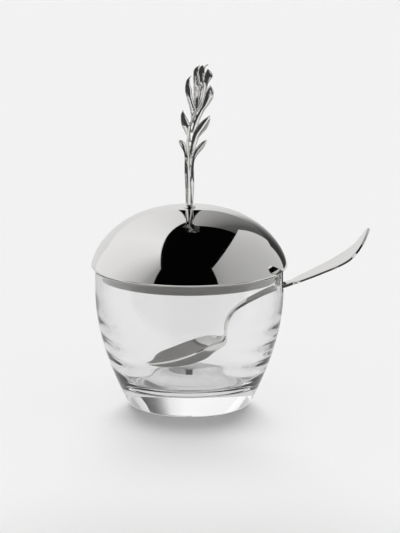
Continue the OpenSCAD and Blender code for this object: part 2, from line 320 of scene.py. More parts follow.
@dataclass(frozen=True)
class ClearGlass:
    """Fire-polished lead-free crystal: colourless, with the faint waves that a mould leaves.

    Light passes its thin wall nearly whole and is held back in its thick base, so shadow rays meet a
    clear wall and a dark base.
    """

    name: str = "fire-polished crystal glass"
    colour: str = "#FBFBFB"
    ior: float = 1.52
    wave_mm: float = 14.0
    wave_depth_mm: float = 0.02
    base_shade: str = "#343434"
    wall_shade: str = "#FFFFFF"
    base_low_mm: float = 3.0
    base_high_mm: float = 10.0

    def material(self) -> bpy.types.Material:
        """Build the material, with mould waves too low to see but for the glints that they bend.

        Returns:
            The material.
        """
        made, tree, place = blank_material(self.name)
        waves = add_node(tree, "ShaderNodeTexNoise", {
            "Vector": place, "Scale": 1 / (self.wave_mm * MM), "Detail": 0.0})
        bump = add_node(tree, "ShaderNodeBump", {
            "Height": waves.outputs["Fac"], "Distance": self.wave_depth_mm * MM, "Strength": 1.0})
        shader = add_node(tree, "ShaderNodeBsdfPrincipled", {
            "Base Color": linear(self.colour), "Roughness": 0.0, "IOR": self.ior,
            "Transmission Weight": 1.0, "Normal": bump.outputs["Normal"]})
        path = add_node(tree, "ShaderNodeLightPath")
        height = add_node(tree, "ShaderNodeSeparateXYZ", {"Vector": place})
        thinness = add_node(tree, "ShaderNodeMapRange", {
            "Value": height.outputs["Z"], "From Min": self.base_low_mm * MM,
            "From Max": self.base_high_mm * MM})
        shade = add_node(tree, "ShaderNodeMix", {
            "Factor": thinness.outputs["Result"], 6: linear(self.base_shade), 7: linear(self.wall_shade)},
            data_type="RGBA")  # 6, 7 and outputs[2] are the sockets that hold colours
        clear = add_node(tree, "ShaderNodeBsdfTransparent", {"Color": shade.outputs[2]})
        both = add_node(tree, "ShaderNodeMixShader", {
            "Fac": path.outputs["Is Shadow Ray"], 1: shader.outputs["BSDF"], 2: clear.outputs["BSDF"]})
        add_node(tree, "ShaderNodeOutputMaterial", {"Surface": both.outputs["Shader"]})
        return made


@dataclass(frozen=True)
class TurnedBrass:
    """Free-cutting brass straight from the lathe: yellow, with fine rings from the tool."""

    name: str = "turned brass"
    colour: str = "#D8B56A"
    roughness: float = 0.22
    ring_mm: float = 0.12
    ring_depth_mm: float = 0.004
    ring_strength: float = 0.6
    ring_wobble: float = 0.6

    def material(self) -> bpy.types.Material:
        """Build the material, with tool rings stacked along the lathe's axis.

        Returns:
            The material.
        """
        made, tree, place = blank_material(self.name)
        rings = add_node(tree, "ShaderNodeTexWave", {
            "Vector": place, "Scale": 1 / (self.ring_mm * MM * 2 * math.pi),
            "Distortion": self.ring_wobble, "Detail": 1.0}, bands_direction="Z")
        bump = add_node(tree, "ShaderNodeBump", {
            "Height": rings.outputs["Fac"], "Distance": self.ring_depth_mm * MM,
            "Strength": self.ring_strength})
        shader = add_node(tree, "ShaderNodeBsdfPrincipled", {
            "Base Color": linear(self.colour), "Metallic": 1.0, "Roughness": self.roughness,
            "Normal": bump.outputs["Normal"]})
        add_node(tree, "ShaderNodeOutputMaterial", {"Surface": shader.outputs["BSDF"]})
        return made


@dataclass
class Lathe:
    """Geometry Nodes that turn an outline round the Z axis, for everything spun or turned."""

    segments: int = 240
    guide_radius: float = 100.0
    tree: bpy.types.NodeTree = field(init=False)
    keys: dict[str, str] = field(init=False)

    def __post_init__(self) -> None:
        """Build the node tree once, for all turned pieces."""
        tree = bpy.data.node_groups.new("turn an outline", "GeometryNodeTree")
        self.keys = {}
        for name, kind in (("Outline", "Geometry"), ("Segments", "Int"), ("Guide Radius", "Float"),
                           ("Finish", "Material")):
            socket = tree.interface.new_socket(name, in_out="INPUT", socket_type="NodeSocket" + kind)
            self.keys[name] = socket.identifier
        tree.interface.new_socket("Turned", in_out="OUTPUT", socket_type="NodeSocketGeometry")
        given = add_node(tree, "NodeGroupInput")
        inward = add_node(tree, "ShaderNodeMath", {0: given.outputs["Guide Radius"], 1: -1.0},
                          operation="MULTIPLY")
        shift = add_node(tree, "ShaderNodeCombineXYZ", {"X": inward.outputs["Value"]})
        laid = add_node(tree, "GeometryNodeTransform", {
            "Geometry": given.outputs["Outline"], "Translation": shift.outputs["Vector"],
            "Rotation": (math.pi / 2, 0, 0)})
        outline = add_node(tree, "GeometryNodeMeshToCurve", {"Mesh": laid.outputs["Geometry"]})
        guide = add_node(tree, "GeometryNodeCurvePrimitiveCircle", {
            "Resolution": given.outputs["Segments"], "Radius": given.outputs["Guide Radius"]},
            mode="RADIUS")
        turned = add_node(tree, "GeometryNodeCurveToMesh", {
            "Curve": guide.outputs["Curve"], "Profile Curve": outline.outputs["Curve"]})
        smooth = add_node(tree, "GeometryNodeSetShadeSmooth", {"Geometry": turned.outputs["Mesh"]})
        real = add_node(tree, "GeometryNodeRealizeInstances", {"Geometry": smooth.outputs["Geometry"]})
        finish = add_node(tree, "GeometryNodeSetMaterial", {
            "Geometry": real.outputs["Geometry"], "Material": given.outputs["Finish"]})
        add_node(tree, "NodeGroupOutput", {"Turned": finish.outputs["Geometry"]})
        self.tree = tree

    def turn(self, name: str, outline: Sequence[Point2], finish: bpy.types.Material) -> bpy.types.Object:
        """Turn a closed outline into a ring-shaped solid.

        Args:
            name: name of the piece.
            outline: points as radius and height, down the outside and up the inside.
            finish: material of the piece.

        Returns:
            The piece as a plain mesh object.
        """
        points = [(radius * MM, 0.0, height * MM) for radius, height in outline]
        edges = [(i, (i + 1) % len(points)) for i in range(len(points))]
        mesh = bpy.data.meshes.new(name + " outline")
        mesh.from_pydata(points, edges, [])
        source = new_object(name + " outline", mesh)
        modifier = source.modifiers.new("turn", "NODES")
        modifier.node_group = self.tree
        for key, value in (("Segments", self.segments), ("Guide Radius", self.guide_radius * MM),
                           ("Finish", finish)):
            modifier[self.keys[key]] = value
        return evaluated_copy(name, source)


@dataclass
class RimPoint:
    """One column of the glass: its place on the unrolled edge line of the rim, and the way out there."""

    along: float
    height: float
    way_along: float
    way_up: float


@dataclass
class GlassPot:
    """The glass: a thick base with a risen floor, a side that swells to an upright mouth, and a notch."""

    foot_radius: float = 29.5
    upright_height: float = 56.0
    side_power: float = 1.8
    wall: float = 3.0
    wall_gain: float = 1.4
    base: float = 11.3
    floor_rise: float = 7.0
    floor_power: float = 2.1
    floor_corner: float = 5.5
    rim_edge: float = 1.25
    foot_edge: float = 3.0
    notch_width: float = 10.5
    notch_depth: float = 11.0
    notch_low_corner: float = 2.4
    notch_top_corner: float = 2.2
    parallel_reach: float = 9.0
    parallel_fade: float = 12.0
    plain_height: float = 50.0
    rim_columns: int = 100
    ripple_pitch: float = 8.5
    ripple_depth: float = 0.42
    ripple_skew: float = 1.5
    ripple_wander: Shares = ((1.1, 1, 0.4), (0.7, 3, 1.9), (0.35, 7, 0.0))
    calm_share: float = 0.05
    parting_power: int = 3
    foot_shares: tuple[float, ...] = (0.35, 0.7, 0.93)
    foot_steps: int = 12
    side_rings: int = 36
    sink_steps: int = 12
    sink_power: float = 0.8
    edge_rings: int = 8
    arc_points: int = 9
    wall_rings: int = 44
    corner_rings: int = 14
    floor_rings: int = 30
    height: float = field(init=False)
    mouth_radius: float = field(init=False)

    def __post_init__(self) -> None:
        """Take the height and the mouth from the frame."""
        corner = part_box("glass_pot")[1]
        self.height = corner.z / MM
        self.mouth_radius = corner.y / MM

    @property
    def inner_radius(self) -> float:
        """Radius of the mouth's inside."""
        return self.mouth_radius - self.wall

    @property
    def notch_height(self) -> float:
        """Height of the notch's bottom."""
        return self.height - self.notch_depth

    def side(self, z: float) -> float:
        """Radius of the outside at height z."""
        rise = min(1.0, z / self.upright_height)
        return self.mouth_radius - (self.mouth_radius - self.foot_radius) * (1 - rise) ** self.side_power

    def cavity(self, z: float) -> float:
        """Radius of the inside, without its ripples.

        Args:
            z: height, from the floor's edge up.

        Returns:
            The radius.
        """
        rise = (z - self.base) / (self.upright_height - self.base)
        wall = self.wall + self.wall_gain * max(0.0, 1 - rise)
        corner = self.floor_corner
        back = max(0.0, corner - (z - self.base))
        return self.side(z) - wall - corner + math.sqrt(corner ** 2 - back ** 2)

    def floor(self, share: float) -> float:
        """Height of the risen floor at a share of the way from its middle to the ring round it."""
        return self.base + self.floor_rise * (1 + math.cos(math.pi * share ** self.floor_power)) / 2

    def ripple(self, turn: float, z: float) -> float:
        """How far the inside strays from its true radius, mostly at the mould's parting lines along X.

        Args:
            turn: angle round the pot, in radians from +X.
            z: height.

        Returns:
            The distance, outwards.
        """
        low, high = self.base + self.floor_corner / 2, self.plain_height
        share = min(1.0, max(0.0, (high - z) / (high - low)))
        parting = self.calm_share + (1 - self.calm_share) * abs(math.cos(turn)) ** self.parting_power
        size = self.ripple_depth * math.sin(math.pi * share ** self.ripple_skew) * parting
        wander = sum(sway * math.sin(waves * turn + start) for sway, waves, start in self.ripple_wander)
        return size * math.sin(2 * math.pi * z / self.ripple_pitch + wander)

    def half_rim(self) -> list[RimPoint]:
        """Half of the rim's edge line, unrolled: from the notch's middle round to the far side.

        Returns:
            Its points, with the way out of the glass at each.
        """
        half = self.notch_width / 2
        low, top = self.notch_low_corner, self.notch_top_corner
        foot, crest = self.notch_height, self.height
        points = [RimPoint(x, foot, 0, 1) for x in np.linspace(0, half - low, 5)[:-1]]
        for a in np.radians(np.linspace(-90, 0, self.arc_points)):
            points.append(RimPoint(half - low + low * math.cos(a), foot + low + low * math.sin(a),
                                   -math.cos(a), -math.sin(a)))
        upright = np.linspace(foot + low, crest - top, self.arc_points)[1:-1]
        points += [RimPoint(half, z, -1, 0) for z in upright]
        for a in np.radians(np.linspace(180, 90, self.arc_points)):
            points.append(RimPoint(half + top + top * math.cos(a), crest - top + top * math.sin(a),
                                   math.cos(a), math.sin(a)))
        far = math.pi * self.mouth_radius
        points += [RimPoint(x, crest, 0, 1) for x in np.linspace(half + top, far, self.rim_columns)[1:]]
        return points

    def columns(self) -> tuple[list[RimPoint], list[float]]:
        """Spread the whole edge line over the columns of the glass.

        Returns:
            All columns round the glass, and the even angle that each has lower down.
        """
        half = self.half_rim()
        left = [RimPoint(-p.along, p.height, -p.way_along, p.way_up) for p in half[1:-1]]
        way = [0.0]
        for a, b in zip(half, half[1:]):
            way.append(way[-1] + math.hypot(b.along - a.along, b.height - a.height))
        even = [math.pi * s / way[-1] for s in way]
        return left[::-1] + half, [-a for a in even[1:-1]][::-1] + even

    def angle(self, along: float, radius: float) -> float:
        """Angle of a place on the unrolled edge line, with the notch's sides kept parallel.

        Args:
            along: way from the notch's middle along the edge line.
            radius: radius at that place.

        Returns:
            The angle in radians.
        """
        even = along / self.mouth_radius
        near = 1 - smooth_step((abs(along) - self.parallel_reach) / self.parallel_fade)
        if near == 0:
            return even
        straight = math.asin(max(-1.0, min(1.0, along / radius)))
        return even * (1 - near) + straight * near

    def build(self, finish: bpy.types.Material) -> bpy.types.Object:
        """Build the glass as one closed skin, from the foot's middle up, over the rim and to the floor.

        Args:
            finish: its material.

        Returns:
            The piece.
        """
        columns, even = self.columns()
        edge = self.rim_edge
        rows: list[list[Point3]] = []

        def ring(radius: float, z: float) -> None:
            """Add a plain level ring."""
            rows.append([(radius * math.cos(a), radius * math.sin(a), z) for a in even])

        def rippled_ring(z: float) -> None:
            """Add a level ring of the inside, with its ripples."""
            ways = [(self.cavity(z) + self.ripple(a, z), a) for a in even]
            rows.append([(radius * math.cos(a), radius * math.sin(a), z) for radius, a in ways])

        def edge_ring(inset: float, depth: float, sink: float, surface: Callable[[float], float]) -> None:
            """Add a ring that follows the rim's edge line, or leaves it for the plain rings below.

            Args:
                inset: way in from the surface.
                depth: way from the edge line into the glass.
                sink: 0 on the edge line, up to 1 on the plain rings.
                surface: radius of the surface at a height.
            """
            points = []
            for column, low_angle in zip(columns, even):
                along = column.along - depth * column.way_along
                z = (column.height - depth * column.way_up) * (1 - sink) + self.plain_height * sink
                radius = surface(z) + inset
                turn = self.angle(along, radius) * (1 - smooth_step(sink)) + low_angle * smooth_step(sink)
                points.append((radius * math.cos(turn), radius * math.sin(turn), z))
            rows.append(points)

        foot = self.foot_edge
        near = 0.1
        lean = (self.side(foot + near) - self.side(foot - near)) / (2 * near)
        foot_low = self.side(foot) - foot * math.hypot(1, lean)
        for share in self.foot_shares:
            ring(foot_low * share, 0.0)
        last = -math.degrees(math.atan(lean))
        for radius, z in arc((foot_low, foot), foot, -90, last, self.foot_steps):
            ring(radius, z)
        for z in np.linspace(foot, self.plain_height, self.side_rings)[1:]:
            ring(self.side(z), z)
        sinks = [1 - (i / self.sink_steps) ** self.sink_power for i in range(1, self.sink_steps)]
        for sink in sinks:
            edge_ring(0.0, edge, sink, self.side)
        for a in np.radians(np.linspace(0, 90, self.edge_rings)):
            edge_ring(-edge * (1 - math.cos(a)), edge * (1 - math.sin(a)), 0.0, self.side)
        for a in np.radians(np.linspace(90, 0, self.edge_rings)):
            edge_ring(edge * (1 - math.cos(a)), edge * (1 - math.sin(a)), 0.0, self.cavity)
        for sink in sinks[::-1]:
            edge_ring(0.0, edge, sink, self.cavity)
        corner_top = self.base + self.floor_corner
        for z in np.linspace(self.plain_height, corner_top, self.wall_rings):
            rippled_ring(z)
        for a in np.radians(np.linspace(0, 90, self.corner_rings)[1:]):
            rippled_ring(self.base + self.floor_corner * (1 - math.sin(a)))
        floor_edge = self.cavity(self.base)
        for share in np.linspace(1, 0, self.floor_rings)[1:-1]:
            ring(floor_edge * share, self.floor(share))
        return self.close(rows, finish)

    def close(self, rows: list[list[Point3]], finish: bpy.types.Material) -> bpy.types.Object:
        """Join the rings and close them at the foot's and the floor's middle.

        Args:
            rows: the rings, each with the same count of points.
            finish: material of the glass.

        Returns:
            The piece.
        """
        count = len(rows[0])
        points = [point for row in rows for point in row]
        faces = tube_faces(len(rows), count)
        foot, floor = len(points), len(points) + 1
        points += [(0, 0, 0), (0, 0, self.floor(0.0))]
        last = (len(rows) - 1) * count
        faces += [(foot, (i + 1) % count, i) for i in range(count)]
        faces += [(floor, last + i, last + (i + 1) % count) for i in range(count)]
        piece = mesh_object("glass_body", points, faces)
        settle(piece, Body.POT, Slot.GLASS, finish, "glass_pot")
        return piece


@dataclass
class Lid:
    """The lid: a spun dome with its edge turned in, and the collar soldered inside it."""

    pot: GlassPot
    overhang: float = 1.8
    sheet: float = 1.0
    roll: float = 0.7
    crown_power: float = 2.45
    shoulder_power: float = 1.52
    edge_step: float = 0.22
    edge_steps: int = 12
    collar_drop: float = 4.9
    collar_gap: float = 0.4
    collar_corner: float = 0.3
    solder_gap: float = 0.05
    stud_hole: float = 1.7
    outside_steps: int = 96
    inside_steps: int = 64
    height: float = field(init=False)

    def __post_init__(self) -> None:
        """Take the dome's height from the frame."""
        self.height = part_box("lid_dome")[1].z / MM - self.ring_height

    @property
    def radius(self) -> float:
        """Radius of the dome's widest ring."""
        return self.pot.mouth_radius + self.overhang

    @property
    def ring_height(self) -> float:
        """Height of the dome's widest ring."""
        return self.pot.height + self.roll

    @property
    def edge_radius(self) -> float:
        """Radius to which the dome's edge turns in."""
        return self.pot.mouth_radius - self.edge_step

    @property
    def collar_radius(self) -> float:
        """Outer radius of the collar."""
        return self.pot.inner_radius - self.collar_gap

    def crown(self, d: float, radius: float, height: float) -> float:
        """Height of a dome above its widest ring, at distance d from the axis."""
        return height * max(0.0, 1 - (d / radius) ** self.crown_power) ** (1 / self.shoulder_power)

    def shell(self, inset: float, steps: int) -> list[Point2]:
        """Outline of one side of the sheet, from the stud's hole down and in to the edge.

        Args:
            inset: way in from the outside: nothing or the sheet's thickness.
            steps: stretches from the hole to the widest ring.

        Returns:
            Points as radius and height.
        """
        radius, height = self.radius - inset, self.height - inset
        first = math.degrees(math.asin(self.stud_hole / radius))
        turns = [math.radians(first + (90 - first) * i / steps) for i in range(steps + 1)]
        reach = [radius * math.sin(a) for a in turns]
        points = [(d, self.ring_height + self.crown(d, radius, height)) for d in reach]
        turn_in, drop = self.radius - self.edge_radius - inset, self.roll - inset
        for a in np.radians(np.linspace(0, 90, self.edge_steps + 1)[1:]):
            points.append((radius - turn_in * (1 - math.cos(a)), self.ring_height - drop * math.sin(a)))
        return points

    def build(self, lathe: Lathe, finish: bpy.types.Material, inside: bpy.types.Material,
              band: bpy.types.Material) -> None:
        """Build the dome and the collar.

        Args:
            lathe: what turns the outlines.
            finish: material of the dome's outside.
            inside: material of the dome's inside.
            band: material of the collar.
        """
        outline = self.shell(0.0, self.outside_steps) + self.shell(self.sheet, self.inside_steps)[::-1]
        dome = lathe.turn("lid_dome_skin", outline, finish)
        settle(dome, Body.LID, Slot.SILVER, finish, "lid_dome")
        dome.data.materials.append(inside)
        middle = Vector((0, 0, self.ring_height * MM))
        for face in dome.data.polygons:
            if face.normal.dot(face.center - middle) < 0:
                face.material_index = 1
        bead = self.sheet / 2
        outer, inner = self.collar_radius, self.collar_radius - self.sheet
        rim, corner, seat = self.pot.height, self.collar_corner, self.edge_radius - self.solder_gap
        low = rim - self.collar_drop + bead
        top = rim + self.sheet
        outline = [(inner, top), (seat, top), (seat, rim), (outer + corner, rim)]
        outline += arc((outer + corner, rim - corner), corner, 90, 180, 4)[1:]
        outline += [(outer, z) for z in np.linspace(rim - 2 * corner, low, 5)]
        outline += arc((outer - bead, low), bead, 0, -180, 10)[1:]
        outline += [(inner, z) for z in np.linspace(low, rim, 5)[1:]]
        collar = lathe.turn("lid_collar_band", outline, band)
        settle(collar, Body.LID, Slot.SILVER, band, "lid_collar")


@dataclass
class SpoonStation:
    """One station along the spoon: place, width, depth of the hollow and thickness."""

    x: float
    z: float
    width: float
    depth: float
    thickness: float


@dataclass
class Spoon:
    """The spoon: a deep pointed bowl, a flat S-bent stem, a shoulder and a broad upturned handle."""

    pot: GlassPot
    bowl_width: float = 21.0
    bowl_depth: float = 6.4
    bowl_sheet: float = 1.1
    stem_width: float = 5.6
    stem_sheet: float = 1.5
    handle_width: float = 18.0
    handle_sheet: float = 1.2
    handle_reach: float = 41.6
    handle_rise: float = 29.7
    lean: float = 6.0
    rest_gap: float = 0.2
    seat_share: float = 0.56
    lean_line: float = -0.2
    edge: float = 0.16
    edge_most: float = 0.4
    face_inset: float = 1.3
    side_share: float = 0.8
    face_points: int = 23
    stretch_steps: int = 8
    line_passes: int = 30
    size_passes: int = 3
    bowl_shares: Shares = (
        (-0.49, 0.05, 0.04, 0), (-0.48, 0.035, 0.18, 0.08), (-0.45, 0.015, 0.3, 0.27),
        (-0.4, 0, 0.47, 0.47), (-0.3, 0, 0.73, 0.7), (-0.17, 0.01, 0.93, 0.9), (-0.04, 0.03, 1, 1),
        (0.1, 0.08, 0.99, 1), (0.23, 0.14, 0.84, 0.98), (0.31, 0.19, 0.64, 0.92),
        (0.38, 0.245, 0.45, 0.73), (0.425, 0.32, 0.31, 0.37), (0.42, 0.38, 0.23, 0.06))
    stem_shares: Shares = (
        (0.41, 0.44, 0.95), (0.415, 0.5, 0.93), (0.44, 0.58, 0.93), (0.48, 0.66, 0.93),
        (0.54, 0.745, 0.93), (0.63, 0.815, 0.93), (0.745, 0.88, 0.95), (0.86, 0.945, 0.98), (1, 1, 1))
    neck_shares: Shares = ((0.11, 0.05, 1), (0.185, 0.095, 1.02))
    handle_shares: Shares = (
        (0.205, 0.11, 0.46), (0.24, 0.135, 0.54), (0.33, 0.195, 0.6), (0.42, 0.255, 0.68),
        (0.51, 0.32, 0.75), (0.6, 0.385, 0.85), (0.69, 0.46, 0.96), (0.76, 0.525, 1),
        (0.825, 0.605, 0.96), (0.87, 0.68, 0.88), (0.915, 0.775, 0.75), (0.95, 0.86, 0.58),
        (0.97, 0.925, 0.42), (0.99, 0.98, 0.2), (1, 1, 0.04))

    @property
    def high(self) -> float:
        """Height of the stem's middle in the notch, with its lower edge clear of the glass."""
        drop = self.stem_width / 2 * math.sin(math.radians(self.lean))
        return self.pot.notch_height + self.rest_gap + self.stem_sheet * self.seat_share + drop

    @property
    def low(self) -> float:
        """Height of the bowl's middle line at its lowest, so that the bowl rests on the risen floor.

        Returns:
            The height.
        """
        pot = self.pot
        clear = self.rest_gap + self.bowl_sheet / 2
        edge = pot.cavity(pot.base)
        return max((clear + pot.floor(abs(x) * pot.inner_radius / edge) - up * self.high) / (1 - up)
                   for x, up, *_ in self.bowl_shares)

    def stations(self) -> list[SpoonStation]:
        """Turn the shares into places and sizes.

        Returns:
            All stations from the bowl's tip to the handle's tip.
        """
        pot, low, high = self.pot, self.low, self.high
        out = []
        for x, up, width, depth in self.bowl_shares:
            out.append(SpoonStation(x * pot.inner_radius, low + up * (high - low),
                                    width * self.bowl_width, depth * self.bowl_depth, self.bowl_sheet))
        for x, up, width in self.stem_shares:
            out.append(SpoonStation(x * pot.inner_radius, low + up * (high - low),
                                    width * self.stem_width, 0.0, self.stem_sheet))
        for shares, widest, sheet in ((self.neck_shares, self.stem_width, self.stem_sheet),
                                      (self.handle_shares, self.handle_width, self.handle_sheet)):
            for x, up, width in shares:
                out.append(SpoonStation(pot.inner_radius + x * (pot.wall + self.handle_reach),
                                        high + up * self.handle_rise, width * widest, 0.0, sheet))
        return out

    def section(self, width: float, depth: float, thickness: float) -> list[Point2]:
        """Closed section across the spoon: two faces that follow the hollow, and flat eased sides.

        Args:
            width: width from edge to edge.
            depth: depth of the hollow at this place.
            thickness: thickness of the metal.

        Returns:
            Points as the way across and the way up from the middle line.
        """
        half, thick = width / 2, thickness / 2
        edge = min(self.edge, half * self.edge_most, thick * self.edge_most)
        outline: list[Point2] = []
        for share in np.sin(np.radians(np.linspace(-90, 90, self.face_points))):
            outline.append((share * (half - edge * self.face_inset), thick))
        outline += arc((half - edge, thick - edge), edge, 90, 0, 3)
        outline += [(half, (thick - edge) * share) for share in (self.side_share, -self.side_share)]
        outline += [(x, -y) for x, y in arc((half - edge, thick - edge), edge, 0, 90, 3)]
        outline += [(-x, -y) for x, y in outline]
        return [(x, y + depth * (x / half) ** 2) for x, y in outline]

    def build(self, finish: bpy.types.Material) -> bpy.types.Object:
        """Sweep the spoon's section along its stations into one closed skin, and lean it over.

        Args:
            finish: its material.

        Returns:
            The piece.
        """
        rows = curve_through([(s.x, s.z, s.width, s.depth, s.thickness) for s in self.stations()],
                             self.stretch_steps)
        for columns, passes in (((0, 1), self.line_passes), ((2, 3, 4), self.size_passes)):
            for _ in range(passes):
                part = rows[:, columns]
                rows[1:-1, columns] = (part[:-2] + 2 * part[1:-1] + part[2:]) / 4
        points: list[Point3] = []
        for k, (x, z, width, depth, thickness) in enumerate(rows):
            before, after = rows[max(0, k - 1)], rows[min(len(rows) - 1, k + 1)]
            way = np.array([after[0] - before[0], after[1] - before[1]])
            way = way / np.linalg.norm(way)
            ring = self.section(width, depth, thickness)
            points += [(x - way[1] * up, -across, z + way[0] * up) for across, up in ring]
        count = len(self.section(1.0, 0.0, 1.0))
        faces = [face[::-1] for face in tube_faces(len(rows), count)]
        faces.append(tuple(range(count)))
        faces.append(tuple(range((len(rows) - 1) * count, len(rows) * count))[::-1])
        notch = Vector((self.pot.inner_radius, 0.0, self.high))
        along = notch - Vector((self.lean_line * self.pot.inner_radius, 0.0, self.low))
        turn = Matrix.Rotation(math.radians(self.lean), 3, along)
        piece = mesh_object("jam_spoon", [notch + turn @ (Vector(p) - notch) for p in points], faces)
        settle(piece, Body.SPOON, Slot.SILVER, finish, "spoon")
        return piece


@dataclass(frozen=True)
class Lobe:
    """One lobe of the leaf between its two edges, from root to tip, as x and height above the foot."""

    name: str
    left: tuple[Point2, ...]
    right: tuple[Point2, ...]
    forward: tuple[float, ...]
    cup: float = 0.22
    sheet: float = 0.9


LOBES = (
    Lobe("right flange",
         ((0.3, 1.0), (0.6, 9.9), (0.8, 17.5), (1.0, 23.5)),
         ((1.9, 1.0), (2.4, 9.4), (2.3, 15.4), (2.1, 20.5), (1.6, 24.5)),
         (0.0, 0.0, 0.0, 0.0), 0.1, 1.6),
    Lobe("left flange",
         ((-1.8, 1.0), (-2.0, 8.4), (-2.3, 14.9), (-2.4, 20.5), (-2.2, 23.4)),
         ((-0.2, 1.0), (-0.4, 8.4), (-0.6, 14.9), (-0.8, 20.5), (-1.3, 23.8)),
         (0.0, 0.0, 0.2, 0.8), 0.1, 1.6),
    Lobe("right low",
         ((0.4, 4.4), (0.6, 12.4), (1.0, 20.0), (2.3, 26.5), (4.1, 29.8), (6.1, 32.0), (8.6, 33.3)),
         ((1.9, 3.9), (2.5, 10.9), (2.3, 17.5), (2.7, 22.5), (4.6, 26.0), (7.1, 29.0), (8.8, 32.7)),
         (0.0, 0.2, 0.8, 1.8, 2.6), 0.25),
    Lobe("left low",
         ((-1.9, 16.5), (-2.1, 21.0), (-2.6, 26.5), (-4.1, 30.0), (-5.0, 32.0), (-4.6, 32.9)),
         ((-0.5, 16.5), (-0.8, 21.0), (-1.0, 26.0), (-1.3, 29.5), (-2.0, 31.8), (-3.8, 33.0)),
         (0.0, 0.4, 1.2, 2.4, 3.2), 0.3),
    Lobe("right third",
         ((0.4, 16.5), (0.2, 23.5), (0.6, 30.0), (2.0, 36.1), (4.3, 40.1), (6.8, 42.8), (9.9, 45.0)),
         ((1.7, 16.5), (2.3, 23.5), (3.2, 28.5), (5.0, 34.1), (8.6, 38.4), (10.2, 42.3), (10.2, 44.9)),
         (0.0, 0.0, 0.4, 1.0, 1.4), 0.2),
    Lobe("left middle",
         ((-0.8, 31.5), (-1.3, 34.5), (-2.2, 36.8), (-3.4, 39.3), (-4.0, 42.1), (-4.0, 45.4),
          (-3.1, 47.7)),
         ((0.8, 31.5), (0.8, 35.6), (0.9, 39.1), (0.0, 41.8), (-1.1, 43.9), (-2.1, 45.8), (-2.8, 47.6)),
         (0.0, 0.2, 0.6, 1.4, 2.2), 0.22),
    Lobe("right second",
         ((0.8, 36.1), (2.2, 41.6), (4.2, 46.1), (6.2, 49.6), (7.4, 53.6), (8.2, 56.7), (10.2, 59.9)),
         ((3.6, 36.1), (5.2, 42.1), (7.5, 47.2), (9.6, 50.1), (11.9, 54.1), (11.9, 57.4), (10.5, 59.9)),
         (0.0, 0.2, 0.6, 1.2, 1.8), 0.2),
    Lobe("left upper",
         ((0.6, 42.1), (0.7, 45.1), (0.0, 49.1), (-1.1, 53.3), (-1.9, 56.9), (-1.9, 59.7), (-1.1, 62.6),
          (0.3, 64.2), (1.5, 64.6)),
         ((3.1, 42.1), (3.6, 47.1), (2.6, 50.4), (1.7, 54.1), (1.5, 57.6), (0.8, 60.1), (0.5, 62.2),
          (0.8, 63.9), (1.7, 64.4)),
         (0.0, 0.3, 0.9, 1.8, 3.0), 0.3),
    Lobe("inner hollow",
         ((2.1, 47.6), (2.0, 53.6), (2.0, 57.7), (1.8, 61.7), (1.9, 64.8), (2.5, 67.7), (5.0, 69.6)),
         ((5.1, 47.6), (5.6, 53.6), (5.6, 57.7), (5.1, 61.2), (4.7, 64.2), (4.6, 66.9), (5.3, 69.4)),
         (0.0, -0.6, -1.0, -0.4, 0.8), 0.25),
    Lobe("top",
         ((4.4, 52.6), (5.3, 58.7), (5.1, 62.2), (4.8, 64.7), (4.6, 66.9), (5.1, 68.6), (6.1, 69.7)),
         ((7.0, 52.6), (7.5, 58.2), (7.4, 61.7), (7.3, 65.2), (7.4, 67.7), (7.2, 69.2), (6.4, 69.8)),
         (0.0, 0.2, 0.6, 1.4, 2.4), 0.25),
    Lobe("right first",
         ((7.0, 53.6), (7.4, 57.7), (7.5, 61.7), (7.5, 64.7), (8.7, 67.8)),
         ((8.4, 53.6), (8.8, 57.7), (9.3, 60.5), (10.8, 63.0), (11.6, 64.4), (11.1, 66.2), (9.3, 67.9)),
         (0.0, 0.2, 0.8, 1.4, 2.2), 0.25),
)


